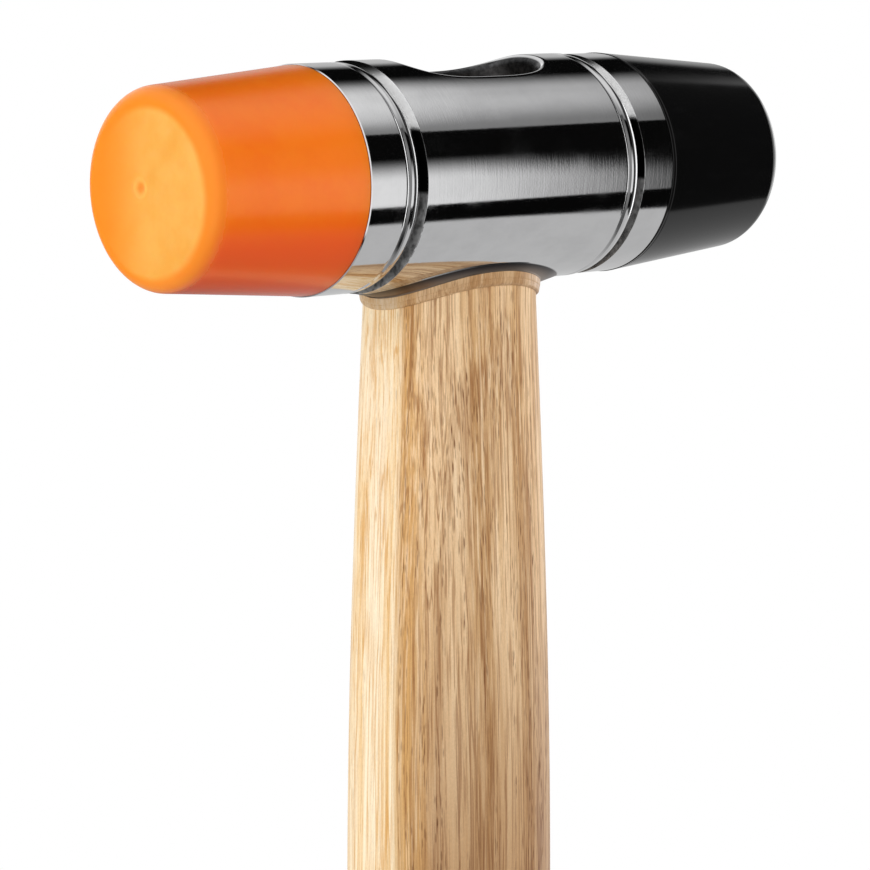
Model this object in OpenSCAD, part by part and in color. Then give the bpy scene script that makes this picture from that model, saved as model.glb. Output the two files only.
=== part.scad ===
// Two-faced tinsmith hammer with screw-in faces and a wedged wooden handle.
// The head lies along X, the handle stands along Z, and the origin is the centre of the butt.

/* [Head] */
// Diameter of the two end rings of the metal head
head_d = 35; // [30:0.5:45]
// Length of the metal head between the two faces
head_len = 63.5; // [60:0.5:90]
// Width of the end ring beside the plastic face, up to the crest of its groove
plastic_ring_w = 8.3; // [5:0.1:10]
// Width of the end ring beside the rubber face
rubber_ring_w = 6.4; // [5:0.1:10]
// How far the middle of the head stands proud of the end rings
body_swell = 0.2; // [0.05:0.05:0.6]
// Width of the turned grooves, from the crest of the bead to the upright wall
groove_w = 2.7; // [1.4:0.1:4]
// Depth of the turned grooves
groove_depth = 1.6; // [1.2:0.1:2.2]
// Width of the narrow floor of a groove, between its bead and its wall
groove_floor_w = 0.6; // [0.3:0.1:1]
// Chamfer on the outer edges of the end rings
ring_chamfer = 0.2; // [0.1:0.1:0.8]

/* [Eye] */
// Length of the eye at the top of the head, inside its rounded rim
eye_top_x = 28.1; // [26.5:0.1:30]
// Width of the eye at the top of the head, inside its rounded rim
eye_top_y = 16.6; // [16.2:0.1:18]
// Offset of the top of the eye towards the rubber face
eye_top_shift = 0.8; // [0:0.1:1.2]
// Length of the eye at its narrow waist
eye_waist_x = 25.4; // [24:0.1:27]
// Width of the eye at its narrow waist
eye_waist_y = 15.4; // [14:0.1:16.6]
// Depth of the waist of the eye below the middle of the head
eye_waist_drop = 2; // [0:0.5:4]
// Rounding of the rim at the top of the eye
eye_rim_round = 1.6; // [0.5:0.1:2]
// Squareness of the eye: 2 gives an ellipse and more gives flatter sides
eye_power = 3.2; // [2:0.1:4]

/* [Flare under the head] */
// Height of the flare below the round of the head
flare_drop = 1; // [0.6:0.1:3]
// Thickness of the flare's lip around the handle
flare_lip = 0.7; // [0.6:0.1:1.5]
// How far the flare spreads along the head above its lip
flare_run_x = 4.8; // [3:0.1:6]
// How far the flare spreads across the head above its lip
flare_run_y = 0.4; // [0.2:0.1:1]

/* [Faces] */
// Length of a face from the ring to its striking end
face_len = 28.6; // [24:0.2:36]
// Diameter of the plastic face at the ring
plastic_base_d = 34.7; // [31:0.1:45]
// Diameter of the rubber face at the ring
rubber_base_d = 35.2; // [31:0.1:45]
// Diameter that the tapered side would reach at the striking end
face_tip_d = 29.9; // [24:0.1:34]
// Rounding of the edge of the striking end
face_round = 2.9; // [1:0.1:4]
// Height of the crown on the striking end
face_crown = 0.4; // [0.1:0.1:1]
// Chamfer of the edge of a face at the ring
face_base_chamfer = 0.2; // [0.1:0.1:0.8]

/* [Studs] */
// Thread diameter of the studs
stud_d = 12; // [8:0.5:14]
// Length of stud that screws into the head
stud_screw_len = 14; // [10:0.5:15]
// Length of stud that is moulded into the face
stud_insert_len = 16; // [10:0.5:20]
// Diameter of the flange at the root of a stud
flange_d = 20; // [16:0.5:24]
// Thickness of the flange at the root of a stud
flange_t = 2.4; // [1.5:0.1:4]
// Chamfer at both ends of a stud
stud_chamfer = 1.2; // [0.5:0.1:2]
// Depth of a blind bore beyond the end of its stud
bore_spare = 0.5; // [0.3:0.1:1]

/* [Handle] */
// Height of the whole hammer
overall_h = 300; // [260:1:340]
// Length of the handle's oval at the neck
neck_x = 30.3; // [28:0.1:31]
// Width of the handle's oval at the neck
neck_y = 20.8; // [19:0.1:21.4]
// Length of the handle's oval at the grip
grip_x = 36.2; // [32:0.1:40]
// Width of the handle's oval at the grip
grip_y = 24.8; // [22:0.1:30]
// Length over which the handle swells from the neck to the grip
swell_len = 97; // [60:1:120]
// Length of the handle's oval at the knob near the butt
knob_x = 38; // [32:0.1:42]
// Width of the handle's oval at the knob near the butt
knob_y = 27; // [22:0.1:32]
// Height of the fullest part of the knob above the butt
knob_h = 28; // [20:1:40]
// Height above the butt at which the knob runs out into the grip
knob_top_h = 95; // [70:1:110]
// Rounding of the butt's edge
butt_round = 6; // [2:0.5:8]
// Depth of the handle's end below the rounded rim of the eye
end_recess = 2; // [0.2:0.1:3]

/* [Resin collar] */
// Height of the resin collar under the flare
collar_h = 1.8; // [1:0.1:4]
// How far the resin collar stands proud of the handle
collar_proud = 0.45; // [0.3:0.05:0.9]
// Rounding of the lower edge of the resin collar
collar_round = 0.3; // [0.1:0.05:0.3]

/* [Wedges] */
// Depth of the saw cut that takes the wooden wedge
kerf_depth = 22; // [16:0.5:26]
// Thickness of the wooden wedge at the top
wood_wedge_t = 3; // [2:0.1:4]
// Thickness of the wooden wedge at its edge
wood_wedge_edge_t = 0.8; // [0.5:0.1:1.2]
// Depth of the two steel wedges
steel_wedge_depth = 14; // [8:0.5:15]
// Width of the steel wedges across the head
steel_wedge_w = 11; // [8:0.5:13]
// Thickness of the steel wedges at the top
steel_wedge_t = 2.2; // [1.5:0.1:3]
// Thickness of the steel wedges at their edge
steel_wedge_edge_t = 0.4; // [0.3:0.1:0.8]
// Distance between the two steel wedges
steel_wedge_gap = 13; // [10:0.5:15]

/* [Fits] */
// Radial clearance between a stud and the bores that it turns or slides in
running_clear = 0.05; // [0.02:0.01:0.08]
// Clearance between pieces that are seated or bonded together
fit_clear = 0.05; // [0.02:0.01:0.1]

/* [Hidden] */
$fn = 96;

// The ovals are superellipses, and the handle's has this exponent
oval_power = 2.2;
oval_sides = 48;
// Number of steps in each curve
groove_steps = 6;
face_steps = 8;
rim_steps = 3;
swell_steps = 10;
knob_steps = 7;
butt_steps = 4;
// How far a cut runs past the surface that it opens, and how far an added form is rooted in it
cut_margin = 2;
root_depth = 0.25;
// How far the rounded rim of the eye runs out above the head, so that it ends in a clean edge
rim_runout = 0.05;

head_r = head_d / 2;
body_r = head_r + body_swell;
half_len = head_len / 2;
// Crests of the two grooves along the head
plastic_crest = -half_len + plastic_ring_w;
rubber_crest = half_len - rubber_ring_w - groove_w;
stud_r = stud_d / 2;
flange_r = flange_d / 2;

// Heights above the butt that the head, the handle and the collar share
head_h = overall_h - body_r;
under_h = head_h - body_r;
flare_h = under_h - flare_drop;
collar_h_low = flare_h - fit_clear - collar_h;
waist_h = head_h - eye_waist_drop;
end_h = overall_h - fall(eye_top_y / 2 + eye_rim_round) - eye_rim_round - end_recess;

neck = [neck_x / 2, neck_y / 2];
grip = [grip_x / 2, grip_y / 2];
knob = [knob_x / 2, knob_y / 2];
waist = [eye_waist_x / 2, eye_waist_y / 2];
eye_top = [eye_top_x / 2, eye_top_y / 2];
flare_low = grow(neck, flare_lip);
flare_high = [flare_low[0] + flare_run_x, flare_low[1] + flare_run_y];

function signed_pow(v, p) = sign(v) * pow(abs(v), p);
function blend(a, b, t) = a + (b - a) * t;
function blend_oval(p, q, t) = [blend(p[0], q[0], t), blend(p[1], q[1], t)];
function grow(oval, d) = [oval[0] + d, oval[1] + d];
function arc(cx, cy, r, from, to, steps) = [
    for (i = [0:steps])
        let (a = blend(from, to, i / steps))
        [cx + r * cos(a), cy + r * sin(a)]
];

// How far the round of the head falls away at a distance from its crest
function fall(y) = body_r - sqrt(max(0, body_r * body_r - y * y));

// A level is an oval, its shift along X, its height, how it follows the round of the head and
// its exponent: 1 follows the top of the head, -1 follows the underside and 0 is flat.
function level(oval, shift, z, follow, power = oval_power) =
    [oval[0], oval[1], shift, z, follow, power];
function level_points(l) = [
    for (i = [0:oval_sides - 1])
        let (a = 360 * i / oval_sides,
             x = l[2] + l[0] * signed_pow(cos(a), 2 / l[5]),
             y = l[1] * signed_pow(sin(a), 2 / l[5]))
        [x, y, l[3] - l[4] * fall(y)]
];

// A closed solid through a list of levels, from the lowest to the highest
module oval_stack(levels) {
    n = oval_sides;
    last = len(levels) - 1;
    rings = [for (l = levels) each level_points(l)];
    foot = [levels[0][2], 0, levels[0][3]];
    top = [levels[last][2], 0, levels[last][3]];
    sides = [
        for (k = [0:last - 1], i = [0:n - 1])
            let (a = k * n + i, b = k * n + (i + 1) % n)
            each [[a, a + n, b + n], [a, b + n, b]]
    ];
    foot_faces = [for (i = [0:n - 1]) [i, (i + 1) % n, len(rings)]];
    top_faces = [for (i = [0:n - 1]) [last * n + (i + 1) % n, last * n + i, len(rings) + 1]];
    polyhedron(concat(rings, [foot, top]), concat(sides, foot_faces, top_faces), convexity = 6);
}

// The handle's oval at a height above the butt, up to the collar
swell_low_h = collar_h_low - swell_len;
function handle_oval(h) =
    h >= swell_low_h ? blend_oval(neck, grip, sin(90 * (collar_h_low - h) / swell_len)) :
    h >= knob_top_h ? grip :
    blend_oval(grip, knob, (1 - cos(180 * (knob_top_h - h) / (knob_top_h - knob_h))) / 2);

// The stretch of the eye that holds the end of the handle
function eye_levels(clear) = [
    level(grow(neck, clear), 0, under_h + root_depth, -1),
    level(grow(waist, clear), 0, waist_h, 0, eye_power),
    level(grow(eye_top, clear), eye_top_shift, end_h, 0, eye_power)
];

function handle_levels(clear) = concat(
    [for (i = [0:butt_steps])
        let (a = 90 * i / butt_steps)
        level(grow(handle_oval(butt_round), clear - butt_round * (1 - sin(a))), 0,
              butt_round * (1 - cos(a)), 0)],
    [for (i = [1:knob_steps])
        let (h = blend(butt_round, knob_top_h, i / knob_steps))
        level(grow(handle_oval(h), clear), 0, h, 0)],
    [for (i = [0:swell_steps])
        let (h = blend(swell_low_h, collar_h_low, i / swell_steps))
        level(grow(handle_oval(h), clear), 0, h, 0)],
    eye_levels(clear)
);

// Lays a shape that was made along Z on the head's axis, towards its rubber end or its plastic end
module to_rubber_end() {
    translate([0, 0, head_h])
        rotate([0, 90, 0])
            children();
}

module to_plastic_end() {
    mirror([1, 0, 0])
        to_rubber_end()
            children();
}

// The head's outline from its plastic end to its rubber end, as radius and place along the axis.
// A groove falls from the crest of a rounded bead to a narrow floor at the foot of its wall.
function groove_outline(crest, r_before, r_after) =
    let (wall = crest + groove_w,
         bead_w = groove_w - groove_floor_w)
    concat(
        [for (i = [0:groove_steps])
            let (a = 90 * i / groove_steps)
            [r_before - groove_depth * (1 - cos(a)), crest + bead_w * sin(a)]],
        [[r_before - groove_depth, wall], [r_after, wall]]
    );

module head_bar() {
    rotate_extrude()
        polygon(concat(
            [[0, -half_len], [head_r - ring_chamfer, -half_len], [head_r, -half_len + ring_chamfer]],
            groove_outline(plastic_crest, head_r, body_r),
            groove_outline(rubber_crest, body_r, head_r),
            [[head_r, half_len - ring_chamfer], [head_r - ring_chamfer, half_len], [0, half_len]]
        ));
}

// The flare ends short of the grooves
module flare() {
    start = plastic_crest + groove_w + fit_clear;
    intersection() {
        oval_stack([
            level(grow(neck, -flare_lip), 0, flare_h, -1),
            level(flare_low, 0, flare_h, -1),
            level(flare_high, 0, under_h + root_depth, -1),
            level(flare_high, 0, under_h + cut_margin, -1)
        ]);
        to_rubber_end()
            translate([0, 0, start])
                cylinder(r = body_r + flare_drop + cut_margin, h = rubber_crest - fit_clear - start);
    }
}

module eye() {
    rim = grow(eye_top, fit_clear);
    oval_stack(concat(
        [level(grow(neck, fit_clear), 0, flare_h - cut_margin, -1)],
        eye_levels(fit_clear),
        [for (i = [0:rim_steps])
            let (a = 90 * i / rim_steps)
            level(grow(rim, eye_rim_round * (1 - cos(a))), eye_top_shift,
                  overall_h + rim_runout - eye_rim_round * (1 - sin(a)), 1, eye_power)],
        [level(grow(rim, eye_rim_round), eye_top_shift, overall_h + cut_margin, 1, eye_power)]
    ));
}

module socket() {
    depth = stud_screw_len + bore_spare;
    translate([0, 0, half_len - depth])
        cylinder(r = stud_r + running_clear, h = depth + cut_margin);
}

module head_body() {
    color("silver")
        difference() {
            union() {
                to_rubber_end() head_bar();
                flare();
            }
            eye();
            to_plastic_end() socket();
            to_rubber_end() socket();
        }
}

// A wedge along X that stands edge down in the end of the handle, with a stretch above the end
module wedge(length, top_t, edge_t, depth, above) {
    translate([-length / 2, 0, end_h])
        rotate([90, 0, 90])
            linear_extrude(length)
                polygon([
                    [-top_t / 2, above], [-top_t / 2, 0], [-edge_t / 2, -depth],
                    [edge_t / 2, -depth], [top_t / 2, 0], [top_t / 2, above]
                ]);
}

// The wooden wedge runs the whole length of the eye
module wood_wedge_blank(clear) {
    wedge(head_len, wood_wedge_t + 2 * clear, wood_wedge_edge_t + 2 * clear,
          kerf_depth + clear, cut_margin);
}

module steel_wedge_pair(clear, above) {
    for (side = [-1, 1])
        translate([eye_top_shift + side * steel_wedge_gap / 2, 0, 0])
            rotate([0, 0, 90])
                wedge(steel_wedge_w + 2 * clear, steel_wedge_t + 2 * clear,
                      steel_wedge_edge_t + 2 * clear, steel_wedge_depth + clear, above);
}

module handle() {
    color("burlywood")
        difference() {
            oval_stack(handle_levels(0));
            wood_wedge_blank(fit_clear);
            steel_wedge_pair(fit_clear, cut_margin);
        }
}

module wood_wedge() {
    color("peru")
        difference() {
            intersection() {
                wood_wedge_blank(0);
                oval_stack(eye_levels(0));
            }
            steel_wedge_pair(fit_clear, cut_margin);
        }
}

module steel_wedges() {
    color("dimgray") steel_wedge_pair(0, 0);
}

module resin_collar() {
    edge = grow(neck, collar_proud);
    color("tan")
        difference() {
            oval_stack([
                level(grow(edge, -collar_round), 0, collar_h_low, -1),
                level(edge, 0, collar_h_low + collar_round, -1),
                level(grow(neck, flare_lip), 0, flare_h + root_depth, -1)
            ]);
            translate([0, 0, -fit_clear]) flare();
            oval_stack(handle_levels(fit_clear));
        }
}

// Half the outline of a face, as radius and place along the axis from its base.
// The side's taper and the striking end are joined by an arc that touches both.
module face_outline(base_r) {
    tip_r = face_tip_d / 2;
    taper = atan((base_r - tip_r) / face_len);
    arc_z = face_len - face_crown - face_round;
    arc_r = base_r - (face_round + arc_z * sin(taper)) / cos(taper);
    crown_r = (arc_r * arc_r + face_crown * face_crown) / (2 * face_crown);
    crown_angle = asin(arc_r / crown_r);
    polygon(concat(
        [[0, 0], [base_r - face_base_chamfer, 0],
         [base_r - face_base_chamfer * tan(taper), face_base_chamfer]],
        arc(arc_r, arc_z, face_round, taper, 90, face_steps),
        arc(0, face_len - crown_r, crown_r, 90 - crown_angle, 90, face_steps)
    ));
}

module face(base_d) {
    translate([0, 0, half_len + fit_clear])
        difference() {
            rotate_extrude() face_outline(base_d / 2);
            translate([0, 0, -cut_margin])
                cylinder(r = stud_r + running_clear, h = cut_margin + stud_insert_len + bore_spare);
            translate([0, 0, -cut_margin])
                cylinder(r = flange_r + running_clear, h = cut_margin + flange_t + running_clear);
        }
}

module stud() {
    color("lightslategray")
        translate([0, 0, half_len + fit_clear])
            rotate_extrude()
                polygon([
                    [0, -stud_screw_len], [stud_r - stud_chamfer, -stud_screw_len],
                    [stud_r, stud_chamfer - stud_screw_len], [stud_r, 0],
                    [flange_r, 0], [flange_r, flange_t], [stud_r, flange_t],
                    [stud_r, stud_insert_len - stud_chamfer],
                    [stud_r - stud_chamfer, stud_insert_len], [0, stud_insert_len]
                ]);
}

module plastic_face() {
    color("darkorange") to_plastic_end() face(plastic_base_d);
}

module plastic_face_stud() {
    to_plastic_end() stud();
}

module rubber_face() {
    color("black") to_rubber_end() face(rubber_base_d);
}

module rubber_face_stud() {
    to_rubber_end() stud();
}

head_body();
handle();
wood_wedge();
steel_wedges();
resin_collar();
plastic_face();
plastic_face_stud();
rubber_face();
rubber_face_stud();
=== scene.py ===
"""Looks of a two-faced tinsmith hammer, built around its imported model.

Lengths are in millimetres until a mesh, a lamp or the camera is made.
"""

import math

import bmesh
import bpy
import numpy as np
from mathutils import Matrix, Vector


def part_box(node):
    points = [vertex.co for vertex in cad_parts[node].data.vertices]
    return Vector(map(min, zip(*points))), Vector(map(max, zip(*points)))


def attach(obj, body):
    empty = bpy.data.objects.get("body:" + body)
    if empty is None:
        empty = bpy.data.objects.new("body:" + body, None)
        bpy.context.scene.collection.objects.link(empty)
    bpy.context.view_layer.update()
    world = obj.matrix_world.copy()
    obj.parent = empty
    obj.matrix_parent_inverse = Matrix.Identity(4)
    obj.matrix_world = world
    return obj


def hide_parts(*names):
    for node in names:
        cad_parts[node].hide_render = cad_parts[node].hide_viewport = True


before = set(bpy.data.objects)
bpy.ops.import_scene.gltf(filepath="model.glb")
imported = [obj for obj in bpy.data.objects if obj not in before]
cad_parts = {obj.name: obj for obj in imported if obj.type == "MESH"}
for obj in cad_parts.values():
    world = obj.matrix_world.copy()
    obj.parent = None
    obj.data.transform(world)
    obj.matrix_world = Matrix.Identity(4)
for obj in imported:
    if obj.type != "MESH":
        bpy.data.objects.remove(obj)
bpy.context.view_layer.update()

MM = 0.001


def node_box(node):
    """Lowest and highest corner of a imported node, in millimetres."""
    low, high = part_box(node)
    return np.array(low) / MM, np.array(high) / MM


# Sizes of the head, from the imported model
head_high = node_box("head_body")[1]
HALF_LEN = head_high[0]
BODY_R = head_high[1]
TOP_H = head_high[2]
HEAD_H = TOP_H - BODY_R
RING_STEP = 0.2
RING_R = BODY_R - RING_STEP

# Turned details of the head
PLASTIC_RING_W = 8.3
RUBBER_RING_W = 6.4
GROOVE_W = 2.7
GROOVE_DEPTH = 1.6
GROOVE_FLOOR_W = 0.6
CREST_LEFT = -HALF_LEN + PLASTIC_RING_W
CREST_RIGHT = HALF_LEN - RUBBER_RING_W - GROOVE_W
WALL_ROUND = 0.05
SCORE_BEFORE = 1.2
SCORE_LEAD = 0.23
SCORE_FALL = 0.48
SCORE_RISE = 0.36
SCORE_DEPTH = 0.20
BEAD_DROP = 0.02
EDGE_ROUND = 0.12
RING_CHAMFER = 0.14
SOCKET_R = 6.05
SOCKET_DEPTH = 14.5
SOCKET_CHAMFER = 0.7

# Eye and flare of the head, as half sizes of ovals
OVAL_POWER = 2.2
EYE_POWER = 3.2
NECK = np.array([15.15, 10.4])
WAIST = np.array([12.7, 7.7])
EYE_TOP = np.array([14.05, 8.3])
EYE_SHIFT = 0.8
EYE_RIM_ROUND = 1.45
RIM_DEPTH = 0.3
RIM_FADE = 0.25
FIT_CLEAR = 0.05
FLARE_DROP = 1.0
FLARE_LIP = 0.7
FLARE_RUN = np.array([4.4, 0.32])
FLARE_LOW = NECK + FLARE_LIP
UNDER_H = HEAD_H - BODY_R
FLARE_H = UNDER_H - FLARE_DROP
ROOT_DEPTH = 0.25
WAIST_DROP = 2.0
WAIST_H = HEAD_H - WAIST_DROP
END_H = node_box("handle")[1][2]

# Resin collar
COLLAR_PROUD = 0.45
COLLAR_TOP_PROUD = FLARE_LIP - FIT_CLEAR
COLLAR_ROUND = 0.3
COLLAR_H = 1.8
COLLAR_LOW_H = FLARE_H - FIT_CLEAR - COLLAR_H
COLLAR_SWELL = 0.04
CREASE_DEPTH = 0.07
CREASE_PLACE = 0.34
CREASE_W = 0.06

# Handle and its wedges
GRIP = np.array([18.1, 12.4])
KNOB = np.array([19.0, 13.5])
KNOB_H = 28.0
KNOB_TOP_H = 95.0
SWELL_LEN = 97.0
BUTT_ROUND = 6.0
WOOD_WEDGE_T = 3.0
WOOD_WEDGE_EDGE_T = 0.8
KERF_DEPTH = 22.0
STEEL_WEDGE_T = 2.2
STEEL_WEDGE_EDGE_T = 0.4
STEEL_WEDGE_W = 11.0
STEEL_WEDGE_DEPTH = 14.0
STEEL_WEDGE_GAP = 13.0
CUTTER_RISE = 2.0

# Screw-in faces and their studs
FACE_TIP_R = 14.95
FACE_ROUND = 2.9
FACE_CROWN = 0.4
CROWN_SHARE = 0.8
FACE_CHAMFER = 0.14
FACE_SEAT = HALF_LEN + FIT_CLEAR
FACE_LEN = node_box("rubber_face")[1][0] - FACE_SEAT
GATE_PLACE = (0.9, 0.3)
GATE_R = 0.75
GATE_DEPTH = 0.3
GATE_RING_SHARE = 0.25
STUD_R = 6.0
STUD_CORE_R = 5.1
STUD_SCREW_LEN = 14.0
STUD_INSERT_LEN = 16.0
STUD_CHAMFER = 1.2
FLANGE_R = 10.0
FLANGE_T = 2.4
FLANGE_CHAMFER = 0.3
INSERT_CLEAR = 0.1
BORE_SPARE = 0.5
THREAD_PITCH = 1.75
THREAD_RUNOUT = 1.2
CREST_CLEAR = 0.03

# A fine score around the rubber: distance from the seat and depth
RUBBER_SCORE = [(0.55, 0.0), (0.65, 0.08), (0.75, 0.0)]

# Places where a finish, painted light or painted shade changes, from the first value to the second
EYE_REACH = (19.5, 18.5)  # distance along the head from its middle
# The painted highlight on the groove walls: where it begins, then where it fades out near the top
GROOVE_HIGHLIGHT_FROM = (7.5, 8.5)  # height above the axis of the head
GROOVE_HIGHLIGHT_TO = (BODY_R - 0.7, BODY_R - 2.6)  # height above the axis of the head
# Height below which the groove walls carry a blotched grey painted reflection
GROOVE_REFLECTION_FROM = (-1.0, -1.8)  # height above the axis of the head
# Place along the head where the painted shade on the flare pales into a painted reflection
FLARE_PALE_REFLECTION = (13.0, 20.0)  # place along the head
# Height below which the plastic's side is painted redder as shade
RED_SIDE_SHADE = (-1.5, -9.0)  # height above the axis of the head
TIP_REACH = (4.2, 1.0)  # distance from the striking end
# A pale disc on the striking end, painted as a sheen: its edge, its side and its offset
SHEEN_DISC_EDGE = (13.1, 11.8)  # radius on the striking end
SHEEN_DISC_SIDE = (11.0, -3.0)  # place across the head
SHEEN_DISC_SHIFT = (0.8, 0.5)  # how far the pale disc lies off the middle, across and down
HEART_EDGE = (-9.7, -7.9)  # place across the grain
GOLD_EDGE = (-3.6, -7.6)  # place across the grain
# Heights over which painted shade darkens the heartwood lower down
LOW_HANDLE_SHADE = (245.0, 150.0)  # height above the butt

# Fineness of the meshes
AROUND = 240
PATCH_HALF_X = 20.5
PATCH_HALF_ANGLE = 60.0
PATCH_STEPS_X = 56
WELD_DIST = 0.002
SLIVER_DIST = 0.0005
SHARP_ANGLE = 32.0

# Light, floor and camera
SKY_HIGH = 0.62
SKY_LOW = 0.56
SKY_DARKEST = 0.003
FLOOR_HALF_M = 4.0
FLOOR_LIT = 140.0
FLOOR_PLAIN = 420.0
CAMERA_FROM_HEAD = (-399.4, -430.9, 39.85)
CAMERA_YAW = 42.6
CAMERA_PITCH = 7.87
CAMERA_LENS = 156.5
SENSOR_W = 36.0
HEAD_CENTRE = (0.0, 0.0, HEAD_H * MM)


class Value:
    """A node socket that takes part in Python arithmetic."""

    def __init__(self, nodes, socket):
        self.nodes = nodes
        self.socket = socket

    def __add__(self, other):
        return self.nodes.math("ADD", self, other)

    def __radd__(self, other):
        return self.nodes.math("ADD", other, self)

    def __sub__(self, other):
        return self.nodes.math("SUBTRACT", self, other)

    def __rsub__(self, other):
        return self.nodes.math("SUBTRACT", other, self)

    def __mul__(self, other):
        return self.nodes.math("MULTIPLY", self, other)

    def __rmul__(self, other):
        return self.nodes.math("MULTIPLY", other, self)

    def __truediv__(self, other):
        return self.nodes.math("DIVIDE", self, other)

    def __rtruediv__(self, other):
        return self.nodes.math("DIVIDE", other, self)

    def __pow__(self, other):
        return self.nodes.math("POWER", self, other)

    def __neg__(self):
        return self.nodes.math("MULTIPLY", self, -1.0)


class Nodes:
    """A node tree that is written as expressions."""

    def __init__(self, tree):
        self.tree = tree
        tree.nodes.clear()

    def add(self, kind, settings=None, inputs=None, output=0):
        """Adds any node: its settings first, then the values or links of its sockets."""
        node = self.tree.nodes.new(kind)
        for name, value in (settings or {}).items():
            setattr(node, name, value)
        for name, value in (inputs or {}).items():
            for each in value if isinstance(value, list) else [value]:
                if isinstance(each, Value):
                    self.tree.links.new(each.socket, node.inputs[name])
                else:
                    node.inputs[name].default_value = each
        return Value(self, node.outputs[output]) if node.outputs else node

    def math(self, operation, *terms):
        return self.add("ShaderNodeMath", {"operation": operation}, dict(enumerate(terms)))

    def vector(self, operation, *terms, output=0):
        return self.add("ShaderNodeVectorMath", {"operation": operation}, dict(enumerate(terms)), output)

    def clamped(self, value):
        """The value held between 0 and 1."""
        return self.math("MINIMUM", self.math("MAXIMUM", value, 0.0), 1.0)

    def mix(self, factor, first, second, blend="MIX"):
        """Blends two colours."""
        settings = {"data_type": "RGBA", "blend_type": blend}
        return self.add("ShaderNodeMix", settings, {0: factor, 6: first, 7: second}, 2)

    def step(self, value, low, high, start=0.0, end=1.0):
        """Runs smoothly from start to end while the value goes from low to high."""
        limits = {0: value, 1: low, 2: high, 3: start, 4: end}
        return self.add("ShaderNodeMapRange", {"interpolation_type": "SMOOTHSTEP"}, limits)

    def noise(self, place, scale=1.0, detail=2.0, roughness=0.5, output=0):
        sizes = {"Vector": place, "Scale": scale, "Detail": detail, "Roughness": roughness}
        return self.add("ShaderNodeTexNoise", None, sizes, output)

    def parts(self, vector):
        """The three numbers of a vector."""
        node = self.add("ShaderNodeSeparateXYZ", None, {0: vector}).socket.node
        return [Value(self, socket) for socket in node.outputs]

    def joined(self, x, y, z):
        return self.add("ShaderNodeCombineXYZ", None, {0: x, 1: y, 2: z})


def srgb(red, green, blue):
    """A colour from its usual 0 to 255 values, as the shader wants it."""
    def linear(level):
        level = level / 255.0
        return level / 12.92 if level <= 0.04045 else ((level + 0.055) / 1.055) ** 2.4
    return (linear(red), linear(green), linear(blue), 1.0)


# Materials

class Finish(Nodes):
    """The material of one surface, with its place on the piece in millimetres."""

    def __init__(self, name):
        self.material = bpy.data.materials.new(name)
        self.material.use_nodes = True
        super().__init__(self.material.node_tree)
        place = self.add("ShaderNodeTexCoord", None, None, "Object")
        self.place = self.vector("MULTIPLY", place, (1 / MM,) * 3)

    def stretched(self, x, y, z):
        """The place with its axes stretched, for patterns that run along one of them."""
        return self.vector("MULTIPLY", self.place, (x, y, z))

    def bump(self, height, strength, depth):
        """A relief of the given depth in millimetres."""
        sizes = {"Strength": strength, "Distance": depth * MM, "Height": height}
        return self.add("ShaderNodeBump", None, sizes)

    def surface(self, **sockets):
        inputs = {name.replace("_", " "): value for name, value in sockets.items()}
        shader = self.add("ShaderNodeBsdfPrincipled", None, inputs)
        self.add("ShaderNodeOutputMaterial", None, {"Surface": shader})
        return self.material


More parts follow.
